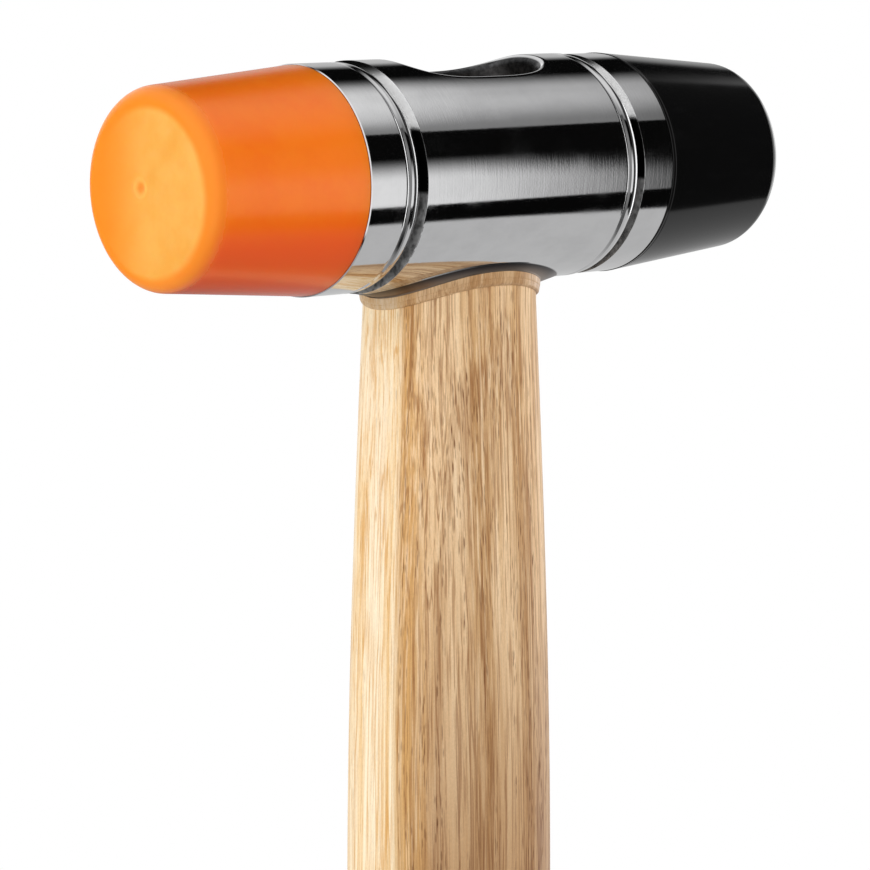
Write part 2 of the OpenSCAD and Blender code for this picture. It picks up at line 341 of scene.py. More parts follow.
def chrome_finish():
    """Bright chrome over fine turning marks. Inside the eye it is dull, and darkened further as painted
    shade; on the flare it is dull, with painted shade by the bar that turns to a painted reflection, warm
    towards the lip and pale towards the right.

    The groove walls are rougher and painted by height: a light painted highlight above, painted shade in the
    middle, a blotched grey painted reflection below.
    """
    finish = Finish("chrome")
    x, y, z = finish.parts(finish.place)
    above = z - HEAD_H
    from_axis = finish.vector("LENGTH", finish.joined(0.0, y, above), output=1)
    near_eye = finish.step(finish.math("ABSOLUTE", x), *EYE_REACH)
    inside = finish.step(BODY_R - from_axis, RIM_DEPTH, RIM_DEPTH + RIM_FADE) * near_eye
    below = finish.step(from_axis, BODY_R + 0.02, BODY_R + 0.12)
    lip = finish.step(from_axis, BODY_R + 0.05, BODY_R + FLARE_DROP)

    def slot(crest):
        """The floor and the wall of a groove: rougher, and coloured by height with painted light and shade.
        """
        wall = crest + GROOVE_W
        past_crest = finish.step(x, crest + 0.3, crest + 0.5)
        deep = finish.step(from_axis, RING_R - 0.25, RING_R - 0.5) * past_crest
        upright = finish.step(x, wall - 0.14, wall - 0.06)
        return finish.math("MAXIMUM", deep, upright) * finish.step(x, wall + 0.04, wall + 0.01)

    slots = slot(CREST_LEFT) + slot(CREST_RIGHT)
    haze = finish.noise(finish.stretched(0.10, 0.16, 0.16), 1.0, 4.0, 0.6)
    turning = finish.noise(finish.stretched(3.2, 0.14, 0.14), 1.0, 3.0, 0.6)
    grain = finish.noise(finish.place, 3.6, 2.0)
    blotch = finish.noise(finish.place, 0.8, 4.0, 0.65)
    bright = finish.mix(finish.step(haze, 0.3, 0.7), (0.60, 0.60, 0.605, 1), (0.66, 0.66, 0.665, 1))
    # Painted shade inside the eye: a blotched near-black, darker than bare metal.
    eye_painted_shade = finish.mix(finish.step(blotch, 0.3, 0.7), (0.03, 0.03, 0.031, 1), (0.10, 0.10, 0.102, 1))
    # Painted shade and reflection on the flare: dark by the bar, warm brown towards the lip, paler grey
    # towards the right.
    flare_shade_and_reflection = finish.mix(lip, (0.05, 0.045, 0.047, 1), (0.34, 0.27, 0.22, 1))
    flare_shade_and_reflection = finish.mix(finish.step(x, *FLARE_PALE_REFLECTION), flare_shade_and_reflection, (0.40, 0.37, 0.37, 1))
    # Painted light and shade on the groove walls by height: a light painted highlight above, painted shade
    # in the middle, a blotched grey painted reflection below.
    high = finish.step(above, *GROOVE_HIGHLIGHT_FROM) * finish.step(above, *GROOVE_HIGHLIGHT_TO)
    low = finish.step(above, *GROOVE_REFLECTION_FROM)
    scale = finish.mix(finish.step(blotch, 0.3, 0.7), (0.10, 0.10, 0.10, 1), (0.42, 0.42, 0.42, 1))
    wear_and_painted_light = finish.mix(high, finish.mix(low, (0.02, 0.02, 0.02, 1), scale), (0.97, 0.97, 0.97, 1))
    colour = finish.mix(slots, finish.mix(inside, bright, eye_painted_shade), wear_and_painted_light)
    colour = finish.mix(below, colour, flare_shade_and_reflection)
    unpolished = 0.36 * inside + 0.34 * below + (0.36 - 0.26 * high) * slots
    roughness = 0.045 + 0.06 * finish.step(haze, 0.5, 0.75) + 0.02 * turning + unpolished
    relief = finish.bump(turning + 0.8 * grain, 0.3, 0.007)
    metallic = 1.0 - (0.9 * low + 0.95 * high) * slots
    return finish.surface(Base_Color=colour, Metallic=metallic, Roughness=roughness, Normal=relief)


def steel_finish():
    """Machined zinc-bright steel."""
    finish = Finish("bare_steel")
    turning = finish.noise(finish.stretched(4.0, 0.5, 0.5), 1.0, 3.0, 0.6)
    stain = finish.noise(finish.place, 0.35, 4.0, 0.6)
    tint = finish.mix(finish.step(stain, 0.35, 0.7), (0.52, 0.52, 0.52, 1), (0.64, 0.63, 0.60, 1))
    relief = finish.bump(turning, 0.4, 0.02)
    return finish.surface(Base_Color=tint, Metallic=1.0, Roughness=0.26 + 0.2 * stain, Normal=relief)


def plastic_finish():
    """Moulded orange plastic, paler and more yellow on the striking end, where a pale disc is a painted
    sheen, and redder low on its side as painted shade.
    """
    finish = Finish("orange_plastic")
    x, y, z = finish.parts(finish.place)
    tip_x = -(FACE_SEAT + FACE_LEN)
    above = z - HEAD_H
    from_middle = finish.joined(0.0, y + SHEEN_DISC_SHIFT[0], above + SHEEN_DISC_SHIFT[1])
    from_middle = finish.vector("LENGTH", from_middle, output=1)
    cloud = finish.noise(finish.place, 0.16, 3.0, 0.5)
    mottle = finish.noise(finish.place, 1.1, 3.0, 0.6)
    side = finish.mix(finish.step(cloud + 0.2 * mottle, 0.35, 0.8), srgb(250, 116, 8), srgb(253, 124, 12))
    # Painted shade: the side is redder and darker low down.
    side = finish.mix(finish.step(above, *RED_SIDE_SHADE), side, srgb(240, 88, 8))
    tip_sheen = finish.mix(finish.step(cloud + 0.15 * mottle, 0.35, 0.75), srgb(243, 168, 66), srgb(246, 182, 86))
    corner = srgb(254, 143, 24)
    near_tip = finish.step(x - tip_x, *TIP_REACH)
    # Painted sheen: a pale disc on the striking end, set off its middle.
    sheen_disc = finish.step(from_middle, *SHEEN_DISC_EDGE) * finish.step(y + 5.0 * (cloud - 0.5), *SHEEN_DISC_SIDE)
    colour = finish.mix(near_tip, side, corner)
    colour = finish.mix(near_tip * sheen_disc, colour, tip_sheen)
    gate = finish.joined(0.0, y - GATE_PLACE[0], above - GATE_PLACE[1])
    from_gate = finish.vector("LENGTH", gate, output=1)
    colour = finish.mix(near_tip * finish.step(from_gate, 1.0, 0.5) * 0.7, colour, srgb(244, 136, 30))
    pale_ring = finish.step(from_gate, 0.9, 1.2) * finish.step(from_gate, 1.8, 1.4)
    colour = finish.mix(near_tip * pale_ring * 0.5, colour, srgb(255, 186, 90))
    roughness = 0.20 + 0.20 * near_tip + 0.06 * mottle
    relief = finish.bump(finish.noise(finish.place, 2.2, 3.0), 0.08, 0.02)
    return finish.surface(Base_Color=colour, Roughness=roughness, Normal=relief, IOR=1.5,
                          Subsurface_Weight=0.3, Subsurface_Scale=0.005,
                          Subsurface_Radius=(1.0, 0.3, 0.06))


def rubber_finish():
    """Moulded black rubber with a soft sheen."""
    finish = Finish("black_rubber")
    scuff = finish.noise(finish.stretched(0.12, 0.5, 0.5), 1.0, 4.0, 0.62)
    pit = finish.noise(finish.place, 3.0, 2.0)
    black, wear_and_painted_light = (0.0005, 0.0005, 0.0006, 1), (0.0018, 0.0018, 0.0019, 1)
    colour = finish.mix(finish.step(scuff, 0.5, 0.8), black, wear_and_painted_light)
    relief = finish.bump(pit + 0.3 * scuff, 0.06, 0.02)
    return finish.surface(Base_Color=colour, Roughness=0.10 + 0.05 * scuff, Normal=relief, IOR=1.36)


class Grain:
    """Ash grain: growth rings about a distant pith, long streaks, fine lines and open pores."""

    def __init__(self, finish, pith=(-2.0, 92.0), ring_w=1.9):
        self.finish = finish
        drift = finish.noise(finish.stretched(0.06, 0.06, 0.007), 1.0, 2.0, 0.5, output=1)
        drift = finish.vector("SUBTRACT", drift, (0.5, 0.5, 0.5))
        self.place = finish.vector("ADD", finish.place, finish.vector("MULTIPLY", drift, (5.0, 5.0, 0.0)))
        from_pith = finish.vector("SUBTRACT", self.place, (*pith, 0.0))
        flat = finish.vector("MULTIPLY", from_pith, (1.0, 1.0, 0.0))
        height = finish.parts(finish.place)[2]
        phase = finish.math("FRACT", (finish.vector("LENGTH", flat, output=1) + 0.010 * height) / ring_w)
        self.early = finish.step(phase, 0.42, 0.06) * finish.step(phase, 0.0, 0.05)
        self.streak = self.along(0.32, 0.005, 3.0)
        self.line = self.along(1.3, 0.013, 3.0)
        self.fibre = self.along(3.4, 0.035, 2.0)
        self.seam = finish.step(finish.math("ABSOLUTE", self.along(0.42, 0.0045, 2.0) - 0.5), 0.016, 0.004)
        self.speckle = self.along(5.0, 2.2, 1.0)
        crowd = self.along(0.7, 0.012, 2.0)
        pores = self.pores(3.0, 0.17) + 0.8 * self.pores(2.2, 0.30)
        self.pore = pores * finish.step(crowd + 0.2 * self.early, 0.42, 0.66)

    def along(self, across, lengthwise, detail):
        """Noise that is stretched along the handle."""
        place = self.finish.vector("MULTIPLY", self.place, (across, across, lengthwise))
        return self.finish.noise(place, 1.0, detail, 0.62)

    def pores(self, across, lengthwise):
        place = self.finish.vector("MULTIPLY", self.place, (across, across, lengthwise))
        sizes = {"Vector": place, "Scale": 1.0, "Randomness": 1.0}
        cells = self.finish.add("ShaderNodeTexVoronoi", None, sizes)
        return self.finish.step(cells, 0.34, 0.16)


def ash_colour(finish, grain):
    """Cream sapwood towards the plastic face, a golden band, then tan heartwood with painted shade that
    darkens it lower down.
    """
    x, y, z = finish.parts(grain.place)
    across = 0.8 * x - 0.6 * y + 4.4 * (grain.streak - 0.5) + 2.4 * (grain.line - 0.5)
    heart = finish.step(across, *HEART_EDGE)
    golden = heart * finish.step(across, *GOLD_EDGE)
    low = finish.step(z, *LOW_HANDLE_SHADE)
    tone = finish.step(grain.streak, 0.32, 0.68)
    cream = finish.mix(tone, srgb(245, 212, 160), srgb(253, 236, 204))
    cream = finish.mix(finish.step(across, -13.0, -8.5) * low * 0.6, cream, srgb(226, 182, 112))
    gold = finish.mix(tone, srgb(202, 148, 84), srgb(228, 184, 122))
    gold = finish.mix(low * 0.5, gold, srgb(232, 190, 124))
    tan = finish.mix(tone, srgb(207, 163, 110), srgb(246, 212, 168))
    colour = finish.mix(heart, cream, finish.mix(golden, tan, gold))
    brown = finish.mix(heart, srgb(214, 156, 78), srgb(152, 100, 52))
    pale = finish.mix(heart, srgb(255, 243, 216), srgb(251, 222, 182))
    colour = finish.mix(grain.early * (0.20 + 0.14 * heart), colour, brown)
    colour = finish.mix(finish.step(grain.line, 0.48, 0.36) * 0.50, colour, brown)
    colour = finish.mix(finish.step(grain.line, 0.52, 0.66) * 0.60, colour, pale)
    colour = finish.mix(finish.step(grain.fibre, 0.46, 0.36) * 0.52, colour, brown)
    colour = finish.mix(finish.step(grain.fibre, 0.54, 0.66) * 0.40, colour, pale)
    colour = finish.mix(grain.seam * 0.55, colour, brown)
    colour = finish.mix(grain.pore * (0.18 + 0.46 * heart), colour, srgb(114, 70, 33))
    light = 0.88 + 0.24 * grain.speckle
    # Painted shade: the heartwood turns darker and warmer lower down the handle.
    shade = heart * (1 - 0.8 * golden) * low
    tint = finish.joined(light * (1 - 0.47 * shade), light * (1 - 0.58 * shade), light * (1 - 0.68 * shade))
    return finish.mix(1.0, colour, tint, "MULTIPLY")


def ash_finish():
    """Clear-lacquered ash."""
    finish = Finish("ash_wood")
    grain = Grain(finish)
    relief = finish.bump(0.5 * grain.fibre - grain.pore, 0.30, 0.05)
    roughness = 0.46 + 0.2 * grain.pore + 0.1 * (1 - grain.streak)
    return finish.surface(Base_Color=ash_colour(finish, grain), Roughness=roughness, Normal=relief, IOR=1.45)


def wedge_wood_finish():
    """Sawn hardwood of the wedge, seen on its end grain."""
    finish = Finish("wedge_wood")
    grain = Grain(finish, pith=(60.0, 20.0), ring_w=1.1)
    colour = finish.mix(grain.streak, srgb(150, 102, 62), srgb(188, 140, 92))
    colour = finish.mix(grain.early * 0.4, colour, srgb(120, 76, 44))
    colour = finish.mix(grain.pore * 0.6, colour, srgb(84, 50, 28))
    relief = finish.bump(grain.fibre - grain.pore, 0.5, 0.08)
    return finish.surface(Base_Color=colour, Roughness=0.6 + 0.2 * grain.fibre, Normal=relief)


def resin_finish():
    """Honey resin over the wood: the grain shows through, a little warmer and more glossy."""
    finish = Finish("clear_resin")
    grain = Grain(finish)
    haze = finish.noise(finish.place, 0.5, 3.0)
    colour = finish.mix(0.40 + 0.3 * haze, ash_colour(finish, grain), srgb(168, 126, 80))
    relief = finish.bump(haze + 0.2 * grain.fibre, 0.2, 0.08)
    return finish.surface(Base_Color=colour, Roughness=0.30 + 0.12 * haze, Normal=relief, IOR=1.5)


# Meshes

class Shell:
    """A closed surface gathered from grids of points in millimetres."""

    def __init__(self):
        self.points = []
        self.faces = []

    def grid(self, rows, closed=True):
        """Adds rows of points; closed joins the end of each row to its start."""
        rows = np.asarray(rows, float)
        height, width, _ = rows.shape
        start = len(self.points)
        self.points.extend(rows.reshape(-1, 3).tolist())
        for row in range(height - 1):
            for column in range(width if closed else width - 1):
                after = (column + 1) % width
                low = start + row * width
                self.faces.append((low + column, low + after, low + width + after, low + width + column))

    def piece(self, name, material, sharp_angle=SHARP_ANGLE):
        """Welds the grids into one object with its faces outwards."""
        mesh = bpy.data.meshes.new(name)
        mesh.from_pydata((np.array(self.points) * MM).tolist(), [], self.faces)
        work = bmesh.new()
        work.from_mesh(mesh)
        bmesh.ops.remove_doubles(work, verts=work.verts, dist=WELD_DIST * MM)
        bmesh.ops.dissolve_degenerate(work, edges=work.edges, dist=SLIVER_DIST * MM)
        bmesh.ops.recalc_face_normals(work, faces=work.faces)
        work.to_mesh(mesh)
        work.free()
        return dressed(name, mesh, material, sharp_angle)


def dressed(name, mesh, material, sharp_angle=SHARP_ANGLE):
    """An object from a finished mesh, smooth except at its sharp edges."""
    mesh.materials.clear()
    mesh.materials.append(material)
    mesh.shade_smooth()
    mesh.set_sharp_from_angle(angle=math.radians(sharp_angle))
    piece = bpy.data.objects.new(name, mesh)
    bpy.context.scene.collection.objects.link(piece)
    return piece


def arc(centre_x, centre_y, radius, start, end, steps):
    """Points on an arc, with its angles in degrees."""
    angles = np.radians(np.linspace(start, end, steps + 1))
    return [(centre_x + radius * math.cos(a), centre_y + radius * math.sin(a)) for a in angles]


def blend(first, second, share):
    return first + (second - first) * share


def fall(y):
    """How far the round of the head falls away at a distance from its crest."""
    return BODY_R - np.sqrt(np.maximum(0.0, BODY_R ** 2 - y ** 2))


def oval(half, turn, shift=0.0, power=OVAL_POWER):
    """Points of an oval: its x and y at the given angles."""
    c, s = np.cos(turn), np.sin(turn)
    x = shift + half[0] * np.sign(c) * np.abs(c) ** (2 / power)
    y = half[1] * np.sign(s) * np.abs(s) ** (2 / power)
    return x, y


def held(outline, gap=0.06):
    """Adds a row close to both ends of each long stretch, so that it shades flat beside its edges."""
    rows = [outline[0]]
    for start, end in zip(outline, outline[1:]):
        length = math.dist(start, end)
        if length > 6 * gap and min(start[1], end[1]) > 1.0:
            for share in (gap / length, 1 - gap / length):
                rows.append((blend(start[0], end[0], share), blend(start[1], end[1], share)))
        rows.append(end)
    return rows


def turned(outline):
    """Rows of points that turn an outline of place and radius about the head's axis."""
    angles = np.radians(np.arange(AROUND) * 360.0 / AROUND)
    return [np.stack([np.full(AROUND, x), r * np.sin(angles), HEAD_H + r * np.cos(angles)], 1)
            for x, r in outline]


def groove(crest, before, after):
    """A scored line, then a rounded bead that falls to a narrow floor at the foot of an upright wall."""
    wall = crest + GROOVE_W
    score = crest - SCORE_BEFORE
    bead_w = GROOVE_W - GROOVE_FLOOR_W
    return (
        [(score - SCORE_LEAD, before), (score, before - 0.1 * SCORE_DEPTH),
         (score + SCORE_FALL, before - SCORE_DEPTH), (score + SCORE_FALL + SCORE_RISE, before - BEAD_DROP)]
        + [(crest + bead_w * math.sin(a), before - GROOVE_DEPTH * (1 - math.cos(a)))
           for a in np.radians(np.linspace(0, 90, 25))]
        + [(wall, before - GROOVE_DEPTH)]
        + arc(wall + WALL_ROUND, after - WALL_ROUND, WALL_ROUND, 180, 90, 3)
    )


def end_outline(side):
    """From the floor of a threaded socket out over the end ring to its outer edge."""
    mouth = side * HALF_LEN
    return [
        (side * (HALF_LEN - SOCKET_DEPTH), 0.0),
        (side * (HALF_LEN - SOCKET_DEPTH), SOCKET_R),
        (mouth - side * SOCKET_CHAMFER, SOCKET_R),
        (mouth, SOCKET_R + SOCKET_CHAMFER),
        (mouth, RING_R - RING_CHAMFER - 0.6),
        (mouth, RING_R - RING_CHAMFER),
        (mouth - side * RING_CHAMFER, RING_R),
    ]


def patch_border():
    """The rim of the patch about the eye or the flare, as x and angle about the head's axis."""
    steps_around = int(AROUND * 2 * PATCH_HALF_ANGLE / 360)
    along = np.linspace(-PATCH_HALF_X, PATCH_HALF_X, PATCH_STEPS_X + 1)
    around = np.radians(np.linspace(-PATCH_HALF_ANGLE, PATCH_HALF_ANGLE, steps_around + 1))
    right = [(PATCH_HALF_X, a) for a in around[:-1]]
    top = [(x, around[-1]) for x in along[::-1][:-1]]
    left = [(-PATCH_HALF_X, a) for a in around[::-1][:-1]]
    bottom = [(x, around[0]) for x in along[:-1]]
    return np.array(right + top + left + bottom)


def head_skin(material):
    """The chromed head: turned bar, eye with a rounded rim, and flare around the handle."""
    shell = Shell()
    left = end_outline(-1) + groove(CREST_LEFT, RING_R, BODY_R) + [(-PATCH_HALF_X, BODY_R)]
    right = [(PATCH_HALF_X, BODY_R)] + groove(CREST_RIGHT, BODY_R, RING_R) + end_outline(1)[::-1]
    shell.grid(turned(held(left)))
    shell.grid(turned(held(right)))

    # The plain stretches in front and behind, between the eye and the flare
    along = np.linspace(-PATCH_HALF_X, PATCH_HALF_X, PATCH_STEPS_X + 1)
    rows = np.array(turned([(x, BODY_R) for x in along]))
    first = int(AROUND * PATCH_HALF_ANGLE / 360)
    half = AROUND // 2
    shell.grid(rows[:, first:half - first + 1], closed=False)
    shell.grid(rows[:, half + first:AROUND - first + 1], closed=False)

    border = patch_border()
    turn = np.arctan2(border[:, 1] / math.radians(PATCH_HALF_ANGLE), border[:, 0] / PATCH_HALF_X)

    def level(half_size, z, follow, shift=0.0, power=OVAL_POWER):
        x, y = oval(half_size, turn, shift, power)
        return np.stack([x, y, z - follow * fall(y)], 1)

    def spread(half_size, follow, shift=0.0, power=OVAL_POWER):
        """Rows from an oval on the round of the head out to the patch's border."""
        x, y = oval(half_size, turn, shift, power)
        angle = np.arcsin(y / BODY_R)
        rows = []
        for share in [0.0, 0.02] + list(np.linspace(0.1, 1, 14)):
            place = blend(x, border[:, 0], share)
            tilt = blend(angle, border[:, 1], share)
            height = HEAD_H + follow * BODY_R * np.cos(tilt)
            rows.append(np.stack([place, BODY_R * np.sin(tilt), height], 1))
        return rows

    rim = EYE_TOP + FIT_CLEAR
    quarter = np.radians(np.linspace(0, 90, 17))
    eye = [level(NECK + FIT_CLEAR, FLARE_H, -1), level(NECK + FIT_CLEAR, UNDER_H + ROOT_DEPTH, -1),
           level(WAIST + FIT_CLEAR, WAIST_H, 0, 0.0, EYE_POWER), level(rim, END_H, 0, EYE_SHIFT, EYE_POWER)]
    eye += [level(rim + EYE_RIM_ROUND * (1 - math.cos(a)), TOP_H - EYE_RIM_ROUND * (1 - math.sin(a)),
                  1, EYE_SHIFT, EYE_POWER) for a in quarter]
    shell.grid(eye)
    shell.grid(spread(rim + EYE_RIM_ROUND, 1, EYE_SHIFT, EYE_POWER))

    flare = [level(NECK + FIT_CLEAR, FLARE_H, -1)]
    flare += [level(FLARE_LOW - EDGE_ROUND * (1 - math.sin(a)), FLARE_H + EDGE_ROUND * (1 - math.cos(a)), -1)
              for a in quarter[::4]]
    flare += [level(FLARE_LOW + FLARE_RUN * share, blend(FLARE_H + EDGE_ROUND, UNDER_H, share), -1)
              for share in (0.06, 0.35, 0.65, 0.94, 1.0)]
    shell.grid(flare)
    shell.grid(spread(FLARE_LOW + FLARE_RUN, -1))
    return shell.piece("head_chromed", material, sharp_angle=15.0)


def collar_ring(material):
    """The resin collar that fills the corner between the flare and the handle."""
    shell = Shell()
    turn = np.radians(np.arange(AROUND) * 360.0 / AROUND)

    def level(half_size, z):
        x, y = oval(half_size, turn)
        return np.stack([x, y, z + fall(y)], 1)

    top_h = FLARE_H - FIT_CLEAR
    inside = NECK + FIT_CLEAR
    edge = NECK + COLLAR_PROUD
    rows = [level(inside, top_h), level(inside, COLLAR_LOW_H), level(edge - COLLAR_ROUND, COLLAR_LOW_H)]
    rows += [level(edge - COLLAR_ROUND * (1 - math.sin(a)),
                   COLLAR_LOW_H + COLLAR_ROUND * (1 - math.cos(a)))
             for a in np.radians(np.linspace(15, 90, 6))]
    for share in np.linspace(0.04, 1, 22):
        proud = blend(COLLAR_PROUD, COLLAR_TOP_PROUD, share) + COLLAR_SWELL * math.sin(math.pi * share)
        crease = CREASE_DEPTH * math.exp(-((share - CREASE_PLACE) / CREASE_W) ** 2)
        rows.append(level(NECK + proud - crease, blend(COLLAR_LOW_H + COLLAR_ROUND, top_h, share)))
    shell.grid(rows + [rows[0]])
    return shell.piece("collar_resin", material)


def face_outline(base_r, scores):
    """Outline of a face from the floor of its bore round to the middle of its striking end."""
    taper = math.atan((base_r - FACE_TIP_R) / FACE_LEN)
    arc_z = FACE_LEN - FACE_CROWN - FACE_ROUND
    arc_r = base_r - (FACE_ROUND + arc_z * math.sin(taper)) / math.cos(taper)
    crown_r = (arc_r ** 2 + FACE_CROWN ** 2) / (2 * FACE_CROWN)
    crown_angle = math.degrees(math.asin(arc_r / crown_r))
    bore_r, bore_z = STUD_R + FIT_CLEAR, STUD_INSERT_LEN + BORE_SPARE
    seat_r, seat_z = FLANGE_R + FIT_CLEAR, FLANGE_T + FIT_CLEAR

    def side_r(z):
        return base_r - z * math.tan(taper)

    inside = [(bore_z, 0.0), (bore_z, bore_r), (seat_z, bore_r), (seat_z, seat_r), (0.0, seat_r)]
    base = [(0.0, base_r - FACE_CHAMFER)]
    base += [(z, r) for z, r in arc(FACE_CHAMFER, base_r - FACE_CHAMFER, FACE_CHAMFER, 180, 95, 5)[1:]]
    sides = [(z, side_r(z) - depth) for z, depth in scores]
    sides += [(z, side_r(z)) for z in np.linspace(2.0, arc_z, 9)[:-1]]
    corner = [(arc_z + FACE_ROUND * math.sin(a), arc_r + FACE_ROUND * math.cos(a))
              for a in np.radians(np.linspace(math.degrees(taper), 90 - crown_angle, 17))]
    tip_r = corner[-1][1]
    shares = np.concatenate([np.linspace(1, 0.36, 16), np.linspace(0.36, 0, 24)[1:]])
    crown_z = corner[-1][0]
    crown = [(crown_z + FACE_CROWN * (1 - share ** 2) * CROWN_SHARE, tip_r * share) for share in shares[1:]]
    return inside + base + sides + corner + crown


def struck_face(name, node, material, scores=(), dimple=0.0):
    """A screw-in face: tapered, with a rounded edge and a low crown."""
    low, high = node_box(node)
    side = 1 if low[0] > 0 else -1
    outline = face_outline(high[1], scores)
    rows = np.array(turned([(FACE_SEAT + z, r) for z, r in held(outline)]))
    if dimple:
        # The gate mark of the mould: a shallow pit with a low ring around it
        away = np.hypot(rows[:, :, 1] - GATE_PLACE[0], rows[:, :, 2] - HEAD_H - GATE_PLACE[1])
        mark = -dimple * np.exp(-(away / GATE_R) ** 2)
        mark += GATE_RING_SHARE * dimple * np.exp(-((away - 2.1 * GATE_R) / (0.5 * GATE_R)) ** 2)
        rows[:, :, 0] += np.where(rows[:, :, 0] > FACE_SEAT + FACE_LEN - FACE_ROUND, mark, 0.0)
    rows[:, :, 0] *= side
    shell = Shell()
    shell.grid(rows)
    return shell.piece(name, material)


# Geometry node trees

def size_tree(name, sizes):
    """A geometry tree with one named input for each size; gives its nodes and its inputs."""
    tree = bpy.data.node_groups.new(name, "GeometryNodeTree")
    tree.interface.new_socket("Geometry", in_out="INPUT", socket_type="NodeSocketGeometry")
    for size in sizes:
        tree.interface.new_socket(size, in_out="INPUT", socket_type="NodeSocketFloat")
    tree.interface.new_socket("Geometry", in_out="OUTPUT", socket_type="NodeSocketGeometry")
    nodes = Nodes(tree)
    group = nodes.add("NodeGroupInput").socket.node
    return nodes, {socket.name: Value(nodes, socket) for socket in group.outputs if socket.name}


def end_tree(nodes, geometry, material):
    """Closes a tree with real geometry and its material."""
    geometry = nodes.add("GeometryNodeRealizeInstances", None, {0: geometry})
    geometry = nodes.add("GeometryNodeSetMaterial", None, {"Geometry": geometry, "Material": material})
    nodes.add("NodeGroupOutput", None, {"Geometry": geometry})
    return nodes.tree


def add_tree(piece, tree, sizes):
    """Puts a tree on a piece, with its sizes in metres set by the sockets' identifiers."""
    modifier = piece.modifiers.new(tree.name, "NODES")
    modifier.node_group = tree
    for socket in tree.interface.items_tree:
        if socket.in_out == "INPUT" and socket.name in sizes:
            modifier[socket.identifier] = float(sizes[socket.name])


def made_plain(piece, name, material, sharp_angle=SHARP_ANGLE):
    """Turns a piece with its modifiers into a plain mesh object."""
    evaluated = piece.evaluated_get(bpy.context.evaluated_depsgraph_get())
    mesh = bpy.data.meshes.new_from_object(evaluated)
    mesh.name = name
    bpy.data.objects.remove(piece)
    return dressed(name, mesh, material, sharp_angle)


def thread_tree(material):
    """A helical ridge around the core of a stud, fading out at both ends."""
    sizes = ["Pitch", "Core radius", "Crest height", "Length", "Start", "Axis height"]
    nodes, size = size_tree("stud_thread", sizes)
    turns = size["Length"] / size["Pitch"]
    helix = nodes.add("GeometryNodeCurveSpiral", None, {
        "Resolution": 48, "Rotations": turns, "Start Radius": size["Core radius"],
        "End Radius": size["Core radius"], "Height": size["Length"]})
    share = nodes.add("GeometryNodeSplineParameter")
    fade = nodes.math("MINIMUM", nodes.math("MINIMUM", share, 1.0 - share) * turns * 1.6, 1.0)
    helix = nodes.add("GeometryNodeSetCurveRadius", None, {"Curve": helix, "Radius": fade})
    helix = nodes.add("GeometryNodeSetCurveNormal", {"mode": "Z_UP"}, {"Curve": helix})
    ridge = nodes.add("GeometryNodeCurvePrimitiveQuadrilateral", {"mode": "KITE"}, {
        "Width": size["Crest height"] * 2.0, "Bottom Height": size["Pitch"] * 0.46,
        "Top Height": size["Pitch"] * 0.46})
    ridge = nodes.add("GeometryNodeCurveToMesh", None, {
        "Curve": helix, "Profile Curve": ridge, "Fill Caps": True})
    laid = nodes.add("GeometryNodeTransform", None, {
        "Geometry": ridge, "Rotation": (0.0, math.pi / 2, 0.0),
        "Translation": nodes.joined(size["Start"], 0.0, size["Axis height"])})
    whole = nodes.add("GeometryNodeJoinGeometry", None, {0: [size["Geometry"], laid]})
    return end_tree(nodes, whole, material)


def threaded_stud(name, side, material, tree):
    """A stud: threaded core, flange, and the plain end that is moulded into the face."""
    screw_end = FACE_SEAT - STUD_SCREW_LEN
    root = FACE_SEAT - THREAD_RUNOUT
    flange = FACE_SEAT + FLANGE_T
    insert_end = FACE_SEAT + STUD_INSERT_LEN
    outline = [
        (screw_end, 0.0), (screw_end, STUD_CORE_R - STUD_CHAMFER), (screw_end + STUD_CHAMFER, STUD_CORE_R),
        (root, STUD_CORE_R), (FACE_SEAT, STUD_CORE_R), (FACE_SEAT, FLANGE_R - FLANGE_CHAMFER),
        (FACE_SEAT + FLANGE_CHAMFER, FLANGE_R), (flange - FLANGE_CHAMFER, FLANGE_R),
        (flange, FLANGE_R - FLANGE_CHAMFER), (flange, STUD_R - INSERT_CLEAR),
        (insert_end - STUD_CHAMFER, STUD_R - INSERT_CLEAR),
        (insert_end, STUD_R - STUD_CHAMFER), (insert_end, 0.0)]
    shell = Shell()
    shell.grid(turned([(side * x, r) for x, r in outline]))
    piece = shell.piece(name + "_core", material)
    length = root - screw_end - STUD_CHAMFER * 0.5
    start = screw_end + STUD_CHAMFER * 0.5 if side > 0 else -root
    add_tree(piece, tree, {
        "Pitch": THREAD_PITCH * MM, "Core radius": STUD_CORE_R * MM,
        "Crest height": (STUD_R - STUD_CORE_R - CREST_CLEAR) * MM, "Length": length * MM,
        "Start": start * MM, "Axis height": HEAD_H * MM})
    return made_plain(piece, name, material)


